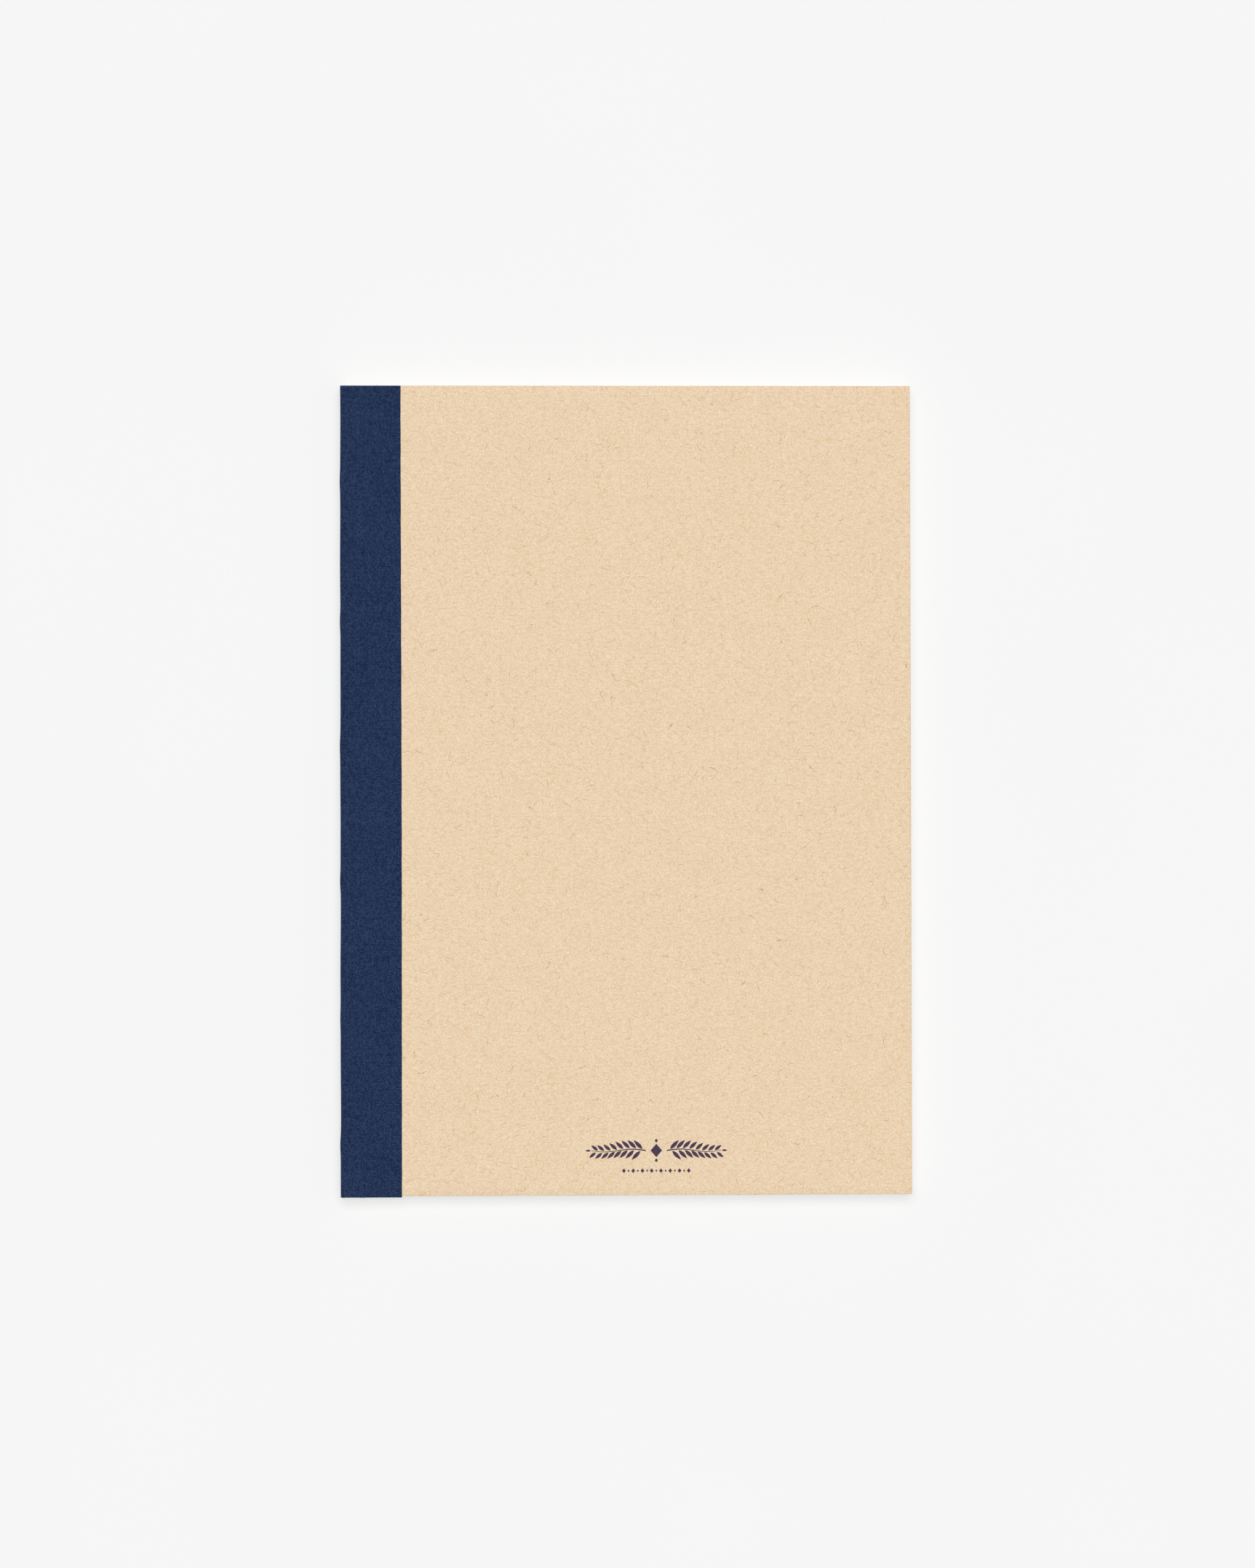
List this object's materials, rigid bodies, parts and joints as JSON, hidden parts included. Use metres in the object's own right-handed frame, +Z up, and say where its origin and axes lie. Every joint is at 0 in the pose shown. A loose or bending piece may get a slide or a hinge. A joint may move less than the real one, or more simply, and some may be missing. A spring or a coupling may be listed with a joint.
{
  "type": "pilot logbook",
  "caption": "Slim sewn logbook with kraft card covers, a navy cloth strip over the spine and ruled leaves that open flat at the middle fold.",
  "frame": {"origin": "middle of the closed book's footprint, on the surface it lies on", "axes": "+X from spine to fore edge, +Y from tail to head, +Z up through the thickness, front cover on top"},
  "size_m": [0.148, 0.21, 0.0078],
  "materials": {
    "kraft_card": "uncoated natural kraft card with short brown fibres",
    "bookcloth": "navy plain-weave bookcloth, matt",
    "endpaper": "uncoated off-white endpaper",
    "text_paper": "uncoated off-white paper with pale ruled columns",
    "linen_thread": "waxed white linen thread",
    "binding_glue": "dried flexible glue",
    "gauze": "open woven cotton gauze",
    "liner_paper": "brown kraft liner paper"
  },
  "bodies": {
    "rear_block": {"middle_section_rear": "text_paper", "section_5": "text_paper", "section_6": "text_paper", "section_7": "text_paper", "middle_thread": "linen_thread", "link_stitches": "linen_thread", "spine_glue": "binding_glue", "spine_mull": "gauze", "spine_liner": "liner_paper", "spine_cloth": "bookcloth"},
    "front_block": {"section_1": "text_paper", "section_2": "text_paper", "section_3": "text_paper", "middle_section_front": "text_paper"},
    "middle_leaf_1": {"middle_leaf_1": "text_paper"},
    "middle_leaf_2": {"middle_leaf_2": "text_paper"},
    "middle_leaf_3": {"middle_leaf_3": "text_paper"},
    "middle_leaf_4": {"middle_leaf_4": "text_paper"},
    "front_cover": {"front_cover_card": "kraft_card", "front_cover_cloth": "bookcloth", "front_pastedown": "endpaper"},
    "front_flyleaf": {"front_flyleaf": "endpaper"},
    "back_flyleaf": {"back_flyleaf": "endpaper"},
    "back_cover": {"back_pastedown": "endpaper", "back_cover_card": "kraft_card", "back_cover_cloth": "bookcloth"}
  },
  "joints": [
    {"name": "centre_open", "type": "hinge", "parent": "rear_block", "child": "front_block", "pos_m": [-0.0744, 0, 0.0039], "axis": [0, -1, 0], "range_deg": [0, 179.5], "deforming": ["spine_cloth", "spine_liner", "spine_mull", "spine_glue", "link_stitches", "middle_thread"]},
    {"name": "middle_leaf_4_turn", "type": "hinge", "parent": "rear_block", "child": "middle_leaf_4", "pos_m": [-0.0744, 0, 0.0039], "axis": [0, -1, 0], "range_deg": [0, 2.69]},
    {"name": "middle_leaf_1_turn", "type": "hinge", "parent": "middle_leaf_4", "child": "middle_leaf_1", "pos_m": [-0.0744, 0, 0.0039], "axis": [0, -1, 0], "range_deg": [0, 174.12]},
    {"name": "middle_leaf_3_turn", "type": "hinge", "parent": "rear_block", "child": "middle_leaf_3", "pos_m": [-0.0744, 0, 0.0039], "axis": [0, -1, 0], "range_deg": [0, 6.28]},
    {"name": "middle_leaf_2_turn", "type": "hinge", "parent": "middle_leaf_3", "child": "middle_leaf_2", "pos_m": [-0.0744, 0, 0.0039], "axis": [0, -1, 0], "range_deg": [0, 166.94]},
    {"name": "front_cover_open", "type": "hinge", "parent": "front_block", "child": "front_cover", "pos_m": [-0.0744, 0, 0.00785], "axis": [0, -1, 0], "range_deg": [0, 179.5]},
    {"name": "front_flyleaf_lift", "type": "hinge", "parent": "front_block", "child": "front_flyleaf", "pos_m": [-0.0744, 0, 0.00785], "axis": [0, -1, 0], "range_deg": [0, 26.93]},
    {"name": "back_cover_open", "type": "hinge", "parent": "rear_block", "child": "back_cover", "pos_m": [-0.0744, 0, -0.00005], "axis": [0, -1, 0], "range_deg": [-179.5, 0]},
    {"name": "back_flyleaf_lift", "type": "hinge", "parent": "rear_block", "child": "back_flyleaf", "pos_m": [-0.0744, 0, -0.00005], "axis": [0, -1, 0], "range_deg": [-26.93, 0]}
  ],
  "couplings": [
    {"joint": "middle_leaf_4_turn", "follows": "centre_open", "ratio": 0.015},
    {"joint": "middle_leaf_1_turn", "follows": "centre_open", "ratio": 0.97},
    {"joint": "middle_leaf_3_turn", "follows": "centre_open", "ratio": 0.035},
    {"joint": "middle_leaf_2_turn", "follows": "centre_open", "ratio": 0.93},
    {"joint": "front_flyleaf_lift", "follows": "front_cover_open", "ratio": 0.15},
    {"joint": "back_flyleaf_lift", "follows": "back_cover_open", "ratio": 0.15}
  ]
}
